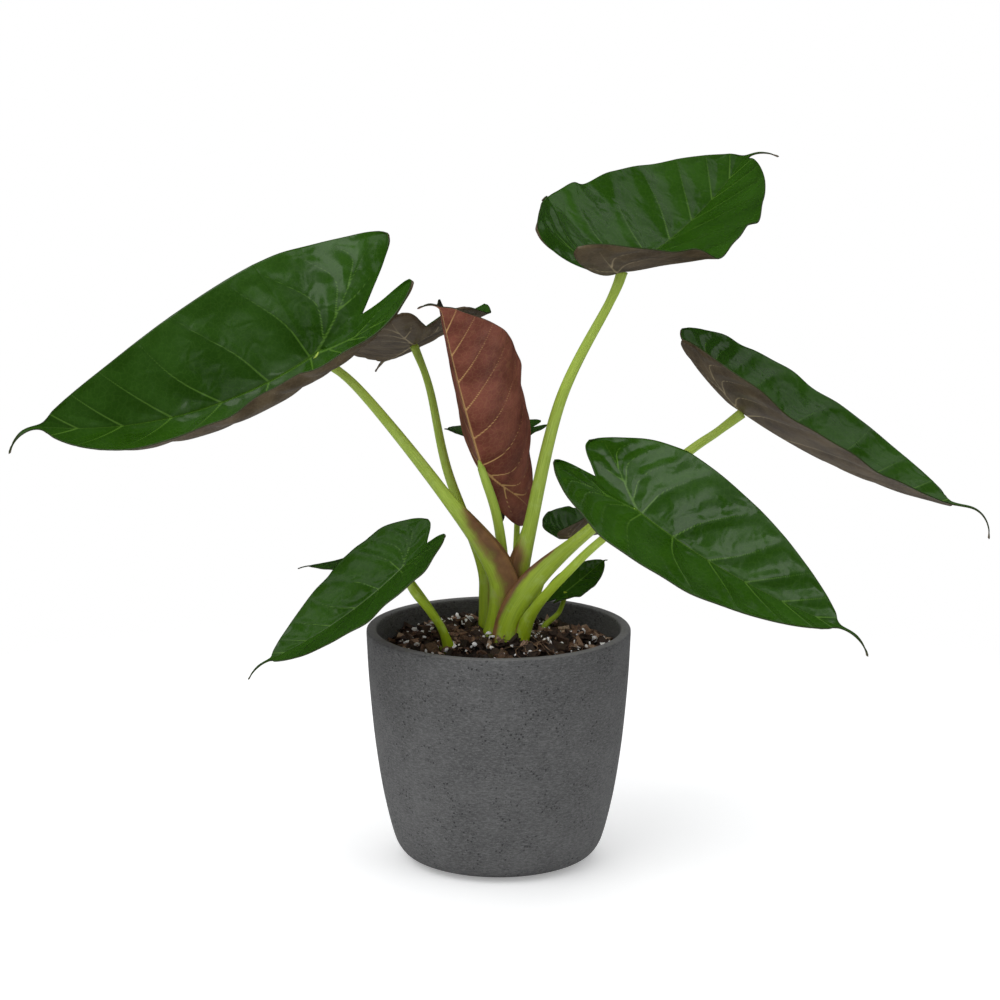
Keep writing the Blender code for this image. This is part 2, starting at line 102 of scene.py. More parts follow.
# stalk holds its radius at the crown, a third of the way up and at the blade. sheath holds the share of
# the stalk it wraps, how far its wings stand out, the way they face and how far round its maroon blush
# spreads, in radians. run is the share of the blade's length that the stalk goes on beneath it.
LEAVES = (
    leaf(
        "left", (-0.1278, -0.030, 0.3723), 0.233, 175, -35, 34,
        (-0.0055, -0.012), (0.0100, 0.0052, 0.0030),
        ((0.001, -0.014, 0.193), (-0.007, -0.016, 0.223), (-0.046, -0.022, 0.282), (-0.098, -0.027, 0.348)),
        width=0.331, lobe=0.416, notch=0.193, tail=0.133, bend=59, back=78, side=-2, twist=4,
        fold_right=50, fold_left=0, curl_left=68, lobe_right=-41, lobe_left=-16,
        tip_bend=-82, tip_turn=-24, sheath=(0.52, 0.0095, (1.0, 0.0, 0.25), 1.9),
    ),
    leaf(
        "top_right", (0.0871, 0.000, 0.4275), 0.230, 59.8, 6.5, 21,
        (0.012, -0.006), (0.0072, 0.0050, 0.0032),
        ((0.015, -0.005, 0.202), (0.022, -0.004, 0.242), (0.044, -0.003, 0.336), (0.079, -0.001, 0.407)),
        width=0.335, lobe=0.423, notch=0.06, tail=0.112, bend=24.5, back=76, side=10.8, twist=9.5,
        fold_right=-6, fold_left=64, curl_right=-5, curl_left=-5, lobe_right=19, lobe_left=14,
        tip_bend=-60, tip_turn=70, wave=0.0030, waves=3.1, sheath=(0.34, 0.0080, (-1.0, -0.3, 0.1), 1.8),
    ),
    leaf(
        "right", (0.1735, 0.010, 0.3242), 0.224, 8.9, -35.4, 26,
        (0.003, -0.027), (0.0062, 0.0048, 0.0030),
        ((0.015, -0.022, 0.190), (0.052, -0.011, 0.232), (0.130, 0.000, 0.294), (0.155, 0.005, 0.311)),
        width=0.378, lobe=0.325, notch=0.06, tail=0.20, bend=28.5, back=58, side=2, twist=-4,
        fold_right=-13, fold_left=56, tip_bend=-91, tip_turn=4, sheath=(0.44, 0.0080, (-0.6, 0.35, 0.8), 0.5),
    ),
    leaf(
        "front_right", (0.0947, -0.100, 0.2758), 0.188, -29.8, -31.6, 4,
        (0.015, -0.024), (0.0048, 0.0035, 0.0026),
        ((0.024, -0.039, 0.190), (0.053, -0.070, 0.232), (0.074, -0.087, 0.256)),
        width=0.291, lobe=0.336, notch=0.206, tail=0.155, bend=16, back=11, side=-15, twist=-2,
        fold_right=-9, fold_left=61, lobe_right=2, lobe_left=-30, tip_bend=-41, tip_turn=32,
        wave=0.0008, quilt=0.0020, sheath=(0.30, 0.0030, (-0.6, 0.5, 0.6), 0.5),
    ),
    leaf(
        "front_left", (-0.0670, -0.060, 0.2267), 0.135, 197, -42, 19,
        (-0.034, -0.028), (0.0038, 0.0030, 0.0024),
        ((-0.039, -0.036, 0.175), (-0.049, -0.044, 0.193), (-0.060, -0.052, 0.209)),
        width=0.350, lobe=0.277, notch=0.178, tail=0.158, bend=6, back=19, side=30, twist=2,
        fold_right=6, fold_left=25, lobe_right=-6, lobe_left=-3, tip_bend=-14, tip_turn=-42,
        wave=0.0010, sheath=(0.30, 0.0015, (1.0, 0.3, 0.4), 0.6),
    ),
    leaf(
        "behind_front_left", (-0.0786, 0.010, 0.2224), 0.078, 152, -21, 23,
        (-0.037, -0.014), (0.0030, 0.0024, 0.0018),
        ((-0.039, -0.010, 0.168), (-0.049, -0.002, 0.184), (-0.062, 0.006, 0.201)),
        width=0.323, bend=15, twist=-21, side=4, fold_right=-6, fold_left=9,
        tip_bend=-3, tip_turn=-31, tail=0.115, wave=0.0006,
    ),
    leaf(
        "back_left", (-0.0614, 0.060, 0.3653), 0.192, 102.3, -16, -3,
        (-0.011, 0.004), (0.0046, 0.0040, 0.0026),
        ((-0.010, 0.013, 0.186), (-0.013, 0.023, 0.214), (-0.037, 0.041, 0.276), (-0.050, 0.051, 0.335)),
        width=0.322, lobe=0.400, notch=0.26, tail=0.112, bend=7, back=62, side=5, twist=-10,
        fold_right=32, fold_left=2, lobe_right=-31, lobe_left=-9, tip_bend=-31, tip_turn=-20,
        sheath=(0.35, 0.0045, (1.0, -0.3, 0.2), 1.0),
    ),
    leaf(
        "young_centre", (-0.0120, -0.010, 0.2880), 0.194, -109, 53, -19,
        (0.001, 0.008), (0.0052, 0.0040, 0.0032),
        ((0.004, 0.004, 0.196), (0.003, 0.001, 0.222), (-0.002, -0.004, 0.255)),
        width=0.328, lobe=0.419, notch=0.201, tail=0.096, bend=-11, back=5, side=-5, twist=19,
        fold_right=66, fold_left=11, curl_right=29, curl_left=82, lobe_right=32, lobe_left=6,
        tip_bend=-23, tip_turn=73, finish="purple", wave=0.0012, quilt=0.0008, run=0.045,
    ),
    leaf(
        "small_back", (0.0122, 0.100, 0.2936), 0.061, 199, -8, 5,
        (0.006, 0.020), (0.0030, 0.0024, 0.0018),
        ((0.010, 0.036, 0.187), (0.013, 0.058, 0.218), (0.014, 0.082, 0.260)),
        width=0.319, lobe=0.383, bend=33, back=28, side=-8, twist=8, fold_right=8, fold_left=5,
        tip_bend=-12, tip_turn=-50, tail=0.09, wave=0.0006,
    ),
    leaf(
        "small_back_right", (0.0544, 0.050, 0.2241), 0.082, 51, -5, -18,
        (0.017, 0.011), (0.0030, 0.0024, 0.0018),
        ((0.027, 0.024, 0.184), (0.036, 0.037, 0.203)),
        width=0.326, lobe=0.367, bend=5, back=33, twist=-6, fold_right=45, fold_left=27, curl_right=40,
        lobe_left=6, wave=0.0012,
    ),
    leaf(
        "small_right", (0.0495, 0.050, 0.1835), 0.046, 41, 24, -17,
        (0.025, 0.000), (0.0028, 0.0022, 0.0017),
        ((0.032, 0.016, 0.165), (0.044, 0.042, 0.170)),
        width=0.321, bend=5, back=6, twist=-22, fold_right=15, fold_left=13, lobe_right=19,
        tip_bend=-47, wave=0.0004,
    ),
)
OFFSET_LEAVES = ("front_left", "behind_front_left")


# ---------------------------------------------------------------- shader expressions
class Socket:
    """A node output, so that shader sums can be written as Python expressions."""

    def __init__(self, board, output):
        self.board = board
        self.output = output

    def _sum(self, operation, first, second):
        return self.board.node("ShaderNodeMath", {"operation": operation}, {0: first, 1: second})

    def __add__(self, other):
        return self._sum("ADD", self, other)

    def __radd__(self, other):
        return self._sum("ADD", other, self)

    def __sub__(self, other):
        return self._sum("SUBTRACT", self, other)

    def __rsub__(self, other):
        return self._sum("SUBTRACT", other, self)

    def __mul__(self, other):
        return self._sum("MULTIPLY", self, other)

    def __rmul__(self, other):
        return self._sum("MULTIPLY", other, self)


class Board:
    """The node tree of a new material, or of a world, with one method that makes every node."""

    def __init__(self, name, world=None):
        self.material = world or bpy.data.materials.new(name)
        self.material.use_nodes = True
        self.tree = self.material.node_tree
        self.shader = self.tree.nodes.get("Principled BSDF")

    def node(self, kind, settings=None, inputs=None, output=0):
        made = self.tree.nodes.new(kind)
        for key, value in (settings or {}).items():
            if key == "stops":
                ramp = made.color_ramp
                for i, (place, colour) in enumerate(value):
                    stop = ramp.elements[i] if i < len(ramp.elements) else ramp.elements.new(place)
                    stop.position = place
                    stop.color = (*colour, 1.0) if len(colour) == 3 else colour
            else:
                setattr(made, key, value)
        for key, value in (inputs or {}).items():
            self.feed(made.inputs[key], value)
        return Socket(self, made.outputs[output]) if made.outputs else None

    def feed(self, socket, value):
        if isinstance(value, Socket):
            self.tree.links.new(value.output, socket)
        elif isinstance(value, tuple) and len(value) == 3 and socket.type == "RGBA":
            socket.default_value = (*value, 1.0)
        else:
            socket.default_value = value

    def mix(self, share, first, second, blend="MIX"):
        """A colour mix; the sockets are found by place, because a Mix node has several called A."""
        return self.node(
            "ShaderNodeMix",
            {"data_type": "RGBA", "blend_type": blend, "clamp_factor": True},
            {0: share, 6: first, 7: second},
            output=2,
        )

    def ramp(self, value, *stops):
        return self.node("ShaderNodeValToRGB", {"stops": stops}, {0: value})

    def band(self, value, low, high):
        """0 below low and 1 above high, smoothly."""
        settings = {"interpolation_type": "SMOOTHSTEP"}
        return self.node("ShaderNodeMapRange", settings, {0: value, 1: low, 2: high, 3: 0.0, 4: 1.0})

    def noise(self, scale, detail=3.0, roughness=0.5, vector=None, distortion=0.0):
        inputs = {"Scale": scale, "Detail": detail, "Roughness": roughness, "Distortion": distortion}
        inputs["Vector"] = vector or self.place()
        return self.node("ShaderNodeTexNoise", {}, inputs)

    def cells(self, scale, feature="F1", vector=None):
        inputs = {"Scale": scale, "Vector": vector or self.place()}
        return self.node("ShaderNodeTexVoronoi", {"feature": feature}, inputs)

    def place(self):
        return self.node("ShaderNodeTexCoord", output=3)

    def attribute(self, name):
        return self.node("ShaderNodeAttribute", {"attribute_name": name}, output=2)

    def bump(self, height, strength, distance, under=None):
        inputs = {"Height": height, "Strength": strength, "Distance": distance}
        if under is not None:
            inputs["Normal"] = under
        return self.node("ShaderNodeBump", {}, inputs)

    def finish(self, **sockets):
        """Feeds the shader's sockets, each named with _ for a space, and gives back the material."""
        for key, value in sockets.items():
            self.feed(self.shader.inputs[key.replace("_", " ")], value)
        return self.material


# ---------------------------------------------------------------- finishes
def clay_finish():
    """Dark fibre-clay: a fine sandy grain, small pits and faint level turning marks darkened with painted
    shade, and a painted highlight on the rim top.
    """
    board = Board("fired_clay")
    place = board.place()
    height = board.node("ShaderNodeSeparateXYZ", {}, {0: place}, output=2)
    level = board.node("ShaderNodeMapping", {}, {"Vector": place, "Scale": (1.0, 1.0, 3.2)})
    broad = board.noise(24.0, 3.0, 0.6)
    fine = board.noise(330.0, 4.0, 0.75, vector=level)
    speck = board.noise(1100.0, 2.0, 0.6)
    marks = board.noise(210.0, 2.0, 0.6, vector=level, distortion=1.4)
    pits = board.cells(300.0)
    pit_choice = board.noise(60.0, 2.0)
    pit = (1.0 - board.band(pits, 0.10, 0.30)) * board.band(pit_choice, 0.42, 0.60)
    small = (1.0 - board.band(board.cells(760.0), 0.12, 0.36)) * board.band(pit_choice, 0.34, 0.60)
    crack = board.band(marks, 0.61, 0.70) * board.band(pit_choice, 0.40, 0.62)
    tone = board.mix(board.band(broad, 0.25, 0.78), (0.076, 0.076, 0.076), (0.104, 0.104, 0.104))
    tone = board.mix(board.band(fine, 0.46, 0.66) * 0.60, tone, (0.175, 0.175, 0.175))
    tone = board.mix(board.band(speck, 0.55, 0.72) * 0.35, tone, (0.215, 0.214, 0.212))
    tone = board.mix(board.band(fine, 0.50, 0.30) * 0.55, tone, (0.040, 0.040, 0.041))
    # painted shade: the cracks and the small and larger pits are darkened as if shade lay inside them
    tone = board.mix(crack * 0.55, tone, (0.030, 0.030, 0.031))
    tone = board.mix(small * 0.60, tone, (0.026, 0.026, 0.027))
    tone = board.mix(pit * 0.90, tone, (0.018, 0.018, 0.019))
    # painted highlight: the rounded rim top is made paler, as if lit from above
    rim_highlight = board.band(height, POT_HEIGHT - 0.0012, POT_HEIGHT - 0.0002)
    tone = board.mix(rim_highlight * 0.55, tone, (0.210, 0.210, 0.208))
    relief = fine * 0.8 + speck * 0.15 - pit * 0.9 - small * 0.35 - crack * 0.4
    return board.finish(Base_Color=tone, Roughness=0.72, Normal=board.bump(relief, 0.60, 0.0008))


def soil_finish():
    board = Board("soil_mix")
    grain = board.noise(320.0, 5.0, 0.7)
    tone = board.ramp(
        grain,
        (0.30, (0.006, 0.004, 0.003)),
        (0.55, (0.028, 0.016, 0.010)),
        (0.80, (0.075, 0.043, 0.026)),
    )
    return board.finish(Base_Color=tone, Roughness=0.95, Normal=board.bump(grain, 0.9, 0.0016))


def bark_finish():
    board = Board("bark")
    tone = board.attribute("tone")
    streak = board.noise(700.0, 4.0, 0.65, distortion=0.8)
    # the palest chip tones are partly pale bark and partly painted highlight on chips that catch the light
    base = board.ramp(
        tone,
        (0.0, (0.010, 0.006, 0.004)),
        (0.40, (0.062, 0.031, 0.017)),
        (0.72, (0.300, 0.165, 0.092)),
        (1.0, (0.780, 0.580, 0.420)),
    )
    dark = board.mix(board.band(streak, 0.35, 0.70) * 0.65, base, (0.006, 0.004, 0.003))
    return board.finish(Base_Color=dark, Roughness=0.58, Normal=board.bump(streak, 0.7, 0.0010))


def perlite_finish():
    board = Board("perlite")
    pores = board.cells(1500.0)
    tint = board.noise(160.0, 2.0)
    tone = board.mix(board.band(tint, 0.50, 0.80), (0.95, 0.94, 0.92), (0.72, 0.62, 0.52))
    tone = board.mix((1.0 - board.band(pores, 0.15, 0.45)) * 0.18, tone, (0.40, 0.34, 0.28))
    return board.finish(Base_Color=tone, Roughness=0.85, Normal=board.bump(pores, 0.5, 0.0006))


def fibre_finish():
    board = Board("root_fibre")
    tint = board.noise(240.0, 2.0)
    tone = board.mix(board.band(tint, 0.35, 0.70), (0.085, 0.045, 0.024), (0.30, 0.19, 0.11))
    return board.finish(Base_Color=tone, Roughness=0.7, Normal=board.bump(tint, 0.4, 0.0005))


def stalk_finish():
    """Yellow-green stalks with fine lengthwise streaks and maroon sheath margins."""
    board = Board("stalk_green")
    height = board.attribute("height")
    sheath = board.attribute("sheath")
    blotch = board.noise(90.0, 3.0, 0.6)
    uv = board.node("ShaderNodeUVMap", {"uv_map": "along"})
    streak_place = board.node("ShaderNodeMapping", {}, {"Vector": uv, "Scale": (90.0, 4.0, 1.0)})
    streak = board.noise(1.0, 3.0, 0.6, vector=streak_place)
    green = board.mix(board.band(height, 0.0, 0.55), (0.330, 0.455, 0.010), (0.440, 0.580, 0.090))
    green = board.mix(board.band(streak, 0.38, 0.68) * 0.60, green, (0.165, 0.270, 0.006))
    green = board.mix(board.band(blotch, 0.50, 0.75) * 0.35, green, (0.50, 0.64, 0.19))
    maroon = board.mix(board.band(blotch, 0.3, 0.7), (0.135, 0.036, 0.026), (0.225, 0.088, 0.042))
    edge = board.band(sheath + (blotch - 0.5) * 0.6, 0.24, 0.72)
    tone = board.mix(edge * 0.92, green, maroon)
    return board.finish(
        Base_Color=tone,
        Roughness=0.42,
        Specular_IOR_Level=0.30,
        Subsurface_Weight=0.06,
        Subsurface_Radius=(0.004, 0.006, 0.002),
        Subsurface_Scale=1.0,
        Normal=board.bump(streak * 0.6 + blotch * 0.4, 0.25, 0.0006),
    )


def blade_top_finish(name, deep, light, vein_tone, roughness):
    """Upper side: deep and glossy, with paler veins, broad soft dents between them, painted shade in the
    creases beside the veins and a fine dark margin.
    """
    board = Board(name)
    vein = board.attribute("vein")
    edge = board.attribute("edge")
    crease_shade = board.attribute("crease_shade")
    blotch = board.noise(24.0, 1.5, 0.5)
    fine = board.noise(900.0, 3.0, 0.6)
    net = board.cells(260.0, "DISTANCE_TO_EDGE")
    netting = 1.0 - board.band(net, 0.0, 0.10)
    tone = board.mix(board.band(blotch, 0.20, 0.80) * 0.7 + 0.15, deep, light)
    tone = board.mix(netting * 0.10, tone, vein_tone)
    # painted shade darkens the creases beside the veins
    tone = board.mix(board.band(crease_shade, 0.25, 1.0) * 0.30, tone, deep)
    tone = board.mix(board.band(vein, 0.30, 0.85) * 0.80, tone, vein_tone)
    tone = board.mix(board.band(edge, 0.45, 1.0) * 0.75, tone, (0.030, 0.038, 0.012))
    broad = board.noise(34.0, 1.0, 0.5, distortion=0.5)
    pucker = board.noise(85.0, 1.0, 0.5, distortion=0.6)
    bumps = broad + pucker * 0.40 + fine * 0.012
    smoother, rougher = roughness - 0.05, roughness + 0.07
    return board.finish(
        Base_Color=tone,
        Roughness=board.node("ShaderNodeMapRange", {}, {0: blotch, 1: 0.3, 2: 0.7, 3: smoother, 4: rougher}),
        Specular_IOR_Level=0.36,
        Normal=board.bump(bumps, 0.50, 0.0050),
    )


def blade_under_finish(name, deep, light, vein_tone, roughness):
    """Underside: matt, with raised tan veins and a fine net between them."""
    board = Board(name)
    vein = board.attribute("vein")
    edge = board.attribute("edge")
    blotch = board.noise(45.0, 4.0, 0.6)
    fine = board.noise(700.0, 3.0, 0.6)
    net = board.cells(240.0, "DISTANCE_TO_EDGE")
    netting = 1.0 - board.band(net, 0.0, 0.09)
    tone = board.mix(board.band(blotch, 0.28, 0.72), deep, light)
    tone = board.mix(netting * 0.09, tone, vein_tone)
    tone = board.mix(board.band(vein, 0.28, 0.75), tone, vein_tone)
    tone = board.mix(board.band(edge, 0.5, 1.0) * 0.5, tone, (0.16, 0.13, 0.10))
    bumps = fine * 0.08 + blotch * 0.6 + netting * 0.05
    return board.finish(
        Base_Color=tone, Roughness=roughness, Specular_IOR_Level=0.07, Normal=board.bump(bumps, 0.40, 0.0012)
    )


# ---------------------------------------------------------------- mesh helpers
def deselect():
    if bpy.context.object and bpy.context.object.mode != "OBJECT":
        bpy.ops.object.mode_set(mode="OBJECT")
    bpy.ops.object.select_all(action="DESELECT")


def make_active(thing):
    deselect()
    thing.select_set(True)
    bpy.context.view_layer.objects.active = thing


def from_lists(name, points, faces, materials):
    mesh = bpy.data.meshes.new(name)
    mesh.from_pydata(np.asarray(points).tolist(), [], faces)
    mesh.update()
    made = bpy.data.objects.new(name, mesh)
    bpy.context.scene.collection.objects.link(made)
    for finish in materials:
        mesh.materials.append(finish)
    return made


def store(piece, name, values):
    """Keeps one number for each point of a mesh, for its finish to read."""
    kept = piece.data.attributes.new(name, "FLOAT", "POINT")
    kept.data.foreach_set("value", np.asarray(values, dtype=np.float32))


def smooth_curve(points, steps):
    points = np.array(points, float)
    ends = np.vstack([2 * points[0] - points[1], points, 2 * points[-1] - points[-2]])
    found = []
    for i in range(1, len(ends) - 2):
        before, first, second, after = ends[i - 1], ends[i], ends[i + 1], ends[i + 2]
        for t in np.arange(steps) / steps:
            found.append(
                first
                + 0.5 * t * (second - before)
                + 0.5 * t**2 * (2 * before - 5 * first + 4 * second - after)
                + 0.5 * t**3 * (3 * first - before - 3 * second + after)
            )
    found.append(points[-1])
    return np.array(found)


def evenly_along(curve, shares):
    steps = np.linalg.norm(np.diff(curve, axis=0), axis=1)
    reached = np.concatenate([[0.0], np.cumsum(steps)])
    reached /= reached[-1]
    return np.stack([np.interp(shares, reached, curve[:, axis]) for axis in range(curve.shape[1])], 1)


def smooth_step(share):
    share = np.clip(share, 0.0, 1.0)
    return share * share * (3.0 - 2.0 * share)


def turned(name, profile, segments, finish):
    """A closed body drawn up ring by ring from a circle, as on a wheel."""
    deselect()
    first_radius, first_height = profile[0]
    bpy.ops.mesh.primitive_circle_add(
        vertices=segments, radius=first_radius, fill_type="NOTHING", location=(0, 0, first_height)
    )
    made = bpy.context.object
    made.name = name
    bpy.ops.object.transform_apply(location=True)
    bpy.ops.object.mode_set(mode="EDIT")
    bpy.ops.mesh.select_mode(type="VERT")
    bpy.ops.mesh.select_all(action="SELECT")
    radius, height = first_radius, first_height
    for next_radius, next_height in profile[1:]:
        bpy.ops.mesh.extrude_region_move(TRANSFORM_OT_translate={"value": (0, 0, next_height - height)})
        scale = next_radius / radius
        bpy.ops.transform.resize(value=(scale, scale, 1.0), center_override=(0, 0, next_height))
        radius, height = next_radius, next_height
    bpy.ops.mesh.merge(type="CENTER")
    bpy.ops.mesh.select_all(action="DESELECT")
    bpy.ops.object.mode_set(mode="OBJECT")
    for vertex in made.data.vertices[:segments]:
        vertex.select = True
    bpy.ops.object.mode_set(mode="EDIT")
    bpy.ops.mesh.merge(type="CENTER")
    bpy.ops.mesh.select_all(action="SELECT")
    bpy.ops.mesh.normals_make_consistent(inside=False)
    bpy.ops.object.mode_set(mode="OBJECT")
    made.data.materials.append(finish)
    made.data.shade_smooth()
    return made


def keep(piece, slot, node):
    """Ties a finished piece to the part's one body and hides the plain node it stands for; the material slot
    is not used.
    """
    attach(piece, "root")
    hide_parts(node)


# ---------------------------------------------------------------- pot
def wall_radius(height):
    curve = smooth_curve(POT_WALL_CURVE, 8)
    return POT_RIM_RADIUS * float(np.interp(height / POT_HEIGHT, curve[:, 0], curve[:, 1]))


def make_pot():
    floor_height = 0.010
    foot = POT_RIM_RADIUS * POT_WALL_CURVE[0][1]
    profile = [(0.004, 0.0), (foot * 0.5, 0.0), (foot - 0.004, 0.0)]
    wall = smooth_curve(POT_WALL_CURVE, 5)
    profile += [(POT_RIM_RADIUS * radius, POT_HEIGHT * height) for height, radius in wall]
    round_off = 0.0022
    for angle in (15, 30, 45, 60, 75, 90):
        turn = math.radians(angle)
        out = POT_RIM_RADIUS - round_off * (1 - math.cos(turn))
        profile.append((out, POT_HEIGHT - round_off + round_off * math.sin(turn)))
    inner = POT_RIM_RADIUS - POT_WALL
    for angle in (90, 75, 60, 45, 30, 15, 0):
        turn = math.radians(angle)
        out = inner + round_off * (1 - math.cos(turn))
        profile.append((out, POT_HEIGHT - round_off + round_off * math.sin(turn)))
    for height in (0.160, 0.150, 0.135, 0.110, 0.080, 0.050, 0.030, 0.018):
        profile.append((wall_radius(height) - POT_WALL, height))
    profile += [(wall_radius(floor_height) - POT_WALL - 0.010, floor_height), (0.004, floor_height)]
    pot = turned("planter", profile, 192, clay_finish())
    keep(pot, "fired_clay", "pot")


# ---------------------------------------------------------------- soil
def soil_height(x, y):
    """The mound: high at the crown, low at the wall, higher towards the back, with lumps."""
    radius = (math.hypot(x, y) / 0.086 - 0.30) / 0.70
    mound = SOIL_EDGE_HEIGHT + (SOIL_MIDDLE_HEIGHT - SOIL_EDGE_HEIGHT) * (1 - smooth_step(radius))
    back = 0.0050 * math.exp(-(((x + 0.030) / 0.030) ** 2) - ((y - 0.050) / 0.030) ** 2)
    lumps = 0.0016 * math.sin(61 * x + 13) * math.sin(73 * y + 4) + 0.0009 * math.sin(171 * x - 90 * y)
    return mound + back + lumps


def make_soil():
    deselect()
    rings, segments = 25, 120
    radius = wall_radius(SOIL_EDGE_HEIGHT) - POT_WALL - 0.0005
    bpy.ops.mesh.primitive_circle_add(vertices=segments, radius=radius, fill_type="TRIFAN")
    base = bpy.context.object
    base.name = "soil_bed"
    bpy.ops.object.mode_set(mode="EDIT")
    bpy.ops.mesh.select_all(action="SELECT")
    bpy.ops.mesh.subdivide(number_cuts=rings)
    bpy.ops.object.mode_set(mode="OBJECT")
    dice = random.Random(5)
    for vertex in base.data.vertices:
        x, y = vertex.co.x, vertex.co.y
        vertex.co.z = soil_height(x, y) - 0.0015 + dice.uniform(-0.0005, 0.0005)
    bpy.ops.object.mode_set(mode="EDIT")
    bpy.ops.mesh.select_all(action="SELECT")
    bpy.ops.mesh.extrude_region_move(TRANSFORM_OT_translate={"value": (0, 0, -0.12)})
    bpy.ops.transform.resize(value=(0.80, 0.80, 0.0), center_override=(0, 0, 0.02))
    bpy.ops.mesh.select_all(action="SELECT")
    bpy.ops.mesh.normals_make_consistent(inside=False)
    bpy.ops.object.mode_set(mode="OBJECT")
    base.data.materials.append(soil_finish())
    base.data.shade_smooth()
    keep(base, "soil_mix", "potting_soil")


def scattered(name, seed, count, shape, size, tone, finish, lift, spread=0.0845, flat=True):
    """Copies of small rough bodies laid over the soil, joined into one mesh with a tone for each.

    size is the least and greatest length, tone the least, greatest and usual tone, and lift how far a
    body stands above the soil. Flat ones lie down, and the others are turned any way.
    """
    dice = random.Random(seed)
    points, faces, tones = [], [], []
    base_points, base_faces = shape
    for _ in range(count):
        far = spread * math.sqrt(dice.random())
        around = dice.uniform(0, 2 * math.pi)
        x, y = far * math.cos(around), far * math.sin(around)
        length = dice.triangular(size[0], size[1], size[0] * 1.4)
        scale = (length, length * dice.uniform(0.45, 0.9), length * dice.uniform(0.18, 0.5))
        lean = 0.55 if flat else 3.1
        turn = (
            Matrix.Rotation(dice.uniform(0, 2 * math.pi), 3, "Z")
            @ Matrix.Rotation(dice.gauss(0, lean), 3, "X")
            @ Matrix.Rotation(dice.gauss(0, lean), 3, "Y")
        )
        start = len(points)
        warp = [dice.uniform(0.72, 1.22) for _ in base_points]
        z = soil_height(x, y) + lift * dice.uniform(0.2, 1.6)
        for corner, stretch in zip(base_points, warp):
            local = Vector((corner[0] * scale[0], corner[1] * scale[1], corner[2] * scale[2])) * stretch
            spot = turn @ local
            spot.x += x
            spot.y += y
            out = math.hypot(spot.x, spot.y)
            if out > SOIL_RADIUS:
                spot.x *= SOIL_RADIUS / out
                spot.y *= SOIL_RADIUS / out
            spot.z += z
            points.append(tuple(spot))
        faces += [tuple(start + i for i in face) for face in base_faces]
        tones += [dice.triangular(*tone)] * len(base_points)
    made = from_lists(name, points, faces, [finish])
    store(made, "tone", tones)
    keep(made, "soil_mix", "potting_soil")


def pebble(subdivisions):
    deselect()
    bpy.ops.mesh.primitive_ico_sphere_add(subdivisions=subdivisions, radius=0.5)
    ball = bpy.context.object
    shape = ([tuple(v.co) for v in ball.data.vertices], [tuple(p.vertices) for p in ball.data.polygons])
    bpy.data.objects.remove(ball, do_unlink=True)
    return shape


def chip():
    """A split flake of bark: a block with its edges cut across and one end narrower."""
    deselect()
    bpy.ops.mesh.primitive_cube_add(size=1.0)
    block = bpy.context.object
    bpy.ops.object.mode_set(mode="EDIT")
    bpy.ops.mesh.subdivide(number_cuts=1)
    bpy.ops.object.mode_set(mode="OBJECT")
    for vertex in block.data.vertices:
        narrow = 1.0 - 0.35 * (vertex.co.x + 0.5)
        vertex.co.y *= narrow
        vertex.co.z *= narrow
    shape = ([tuple(v.co) for v in block.data.vertices], [tuple(p.vertices) for p in block.data.polygons])
    bpy.data.objects.remove(block, do_unlink=True)
    return shape


def make_fibres():
    dice = random.Random(31)
    points, faces = [], []
    sides = 5
    for _ in range(46):
        far, around = 0.080 * math.sqrt(dice.random()), dice.uniform(0, 2 * math.pi)
        x, y = far * math.cos(around), far * math.sin(around)
        heading = dice.uniform(0, 2 * math.pi)
        bend = dice.uniform(-0.5, 0.5)
        steps = dice.randint(6, 14)
        radius = dice.uniform(0.00025, 0.00055)
        arch = dice.uniform(0.001, 0.004)
        start = len(points)
        placed = 0
        for i in range(steps + 1):
            share = i / steps
            if math.hypot(x, y) < 0.085:
                z = soil_height(x, y) + 0.0020 + arch * math.sin(math.pi * share)
                side = Vector((-math.sin(heading), math.cos(heading), 0.0))
                for k in range(sides):
                    turn = 2 * math.pi * k / sides
                    thin = radius * (1.0 - 0.7 * share)
                    spot = Vector((x, y, z)) + side * thin * math.cos(turn)
                    spot.z += thin * math.sin(turn)
                    points.append(tuple(spot))
                placed += 1
            x += 0.0028 * math.cos(heading)
            y += 0.0028 * math.sin(heading)
            heading += bend + dice.uniform(-0.25, 0.25)
        for i in range(placed - 1):
            for k in range(sides):
                low, high, after = start + i * sides, start + (i + 1) * sides, (k + 1) % sides
                faces.append((low + k, high + k, high + after, low + after))
        if placed > 1:
            last = start + (placed - 1) * sides
            faces.append(tuple(start + k for k in range(sides)))
            faces.append(tuple(last + k for k in reversed(range(sides))))
    made = from_lists("root_fibres", points, faces, [fibre_finish()])
    made.data.shade_smooth()
    keep(made, "soil_mix", "potting_soil")


def make_mix():
    bark = bark_finish()
    grain = pebble(1)
    scattered("bark_chips", 11, 620, chip(), (0.0045, 0.0135), (0.0, 1.0, 0.30), bark, 0.0015)
    scattered("bark_crumbs", 12, 900, grain, (0.0016, 0.0048), (0.0, 0.9, 0.25), bark, 0.0016, flat=False)
    white = perlite_finish()
    scattered("perlite_grains", 13, 320, grain, (0.0018, 0.0082), (0.2, 1.0, 0.8), white, 0.0036, flat=False)
    make_fibres()


def make_bud():
    """The maroon tip of the next leaf, standing between the feet of the stalks."""
    deselect()
    bpy.ops.mesh.primitive_cone_add(vertices=24, radius1=0.0042, radius2=0.0006, depth=0.044)
    bud = bpy.context.object
    bud.name = "leaf_bud"
    bpy.ops.object.mode_set(mode="EDIT")
    bpy.ops.mesh.select_all(action="SELECT")
    bpy.ops.transform.translate(value=(0.0185, -0.0040, 0.184))
    bpy.ops.object.mode_set(mode="OBJECT")
    board = Board("bud_maroon")
    blotch = board.noise(220.0, 3.0, 0.6)
    tone = board.mix(board.band(blotch, 0.3, 0.7), (0.110, 0.020, 0.022), (0.200, 0.050, 0.045))
    bud.data.materials.append(board.finish(Base_Color=tone, Roughness=0.45))
    bud.data.shade_smooth()
    keep(bud, "crown_tissue", "crown")


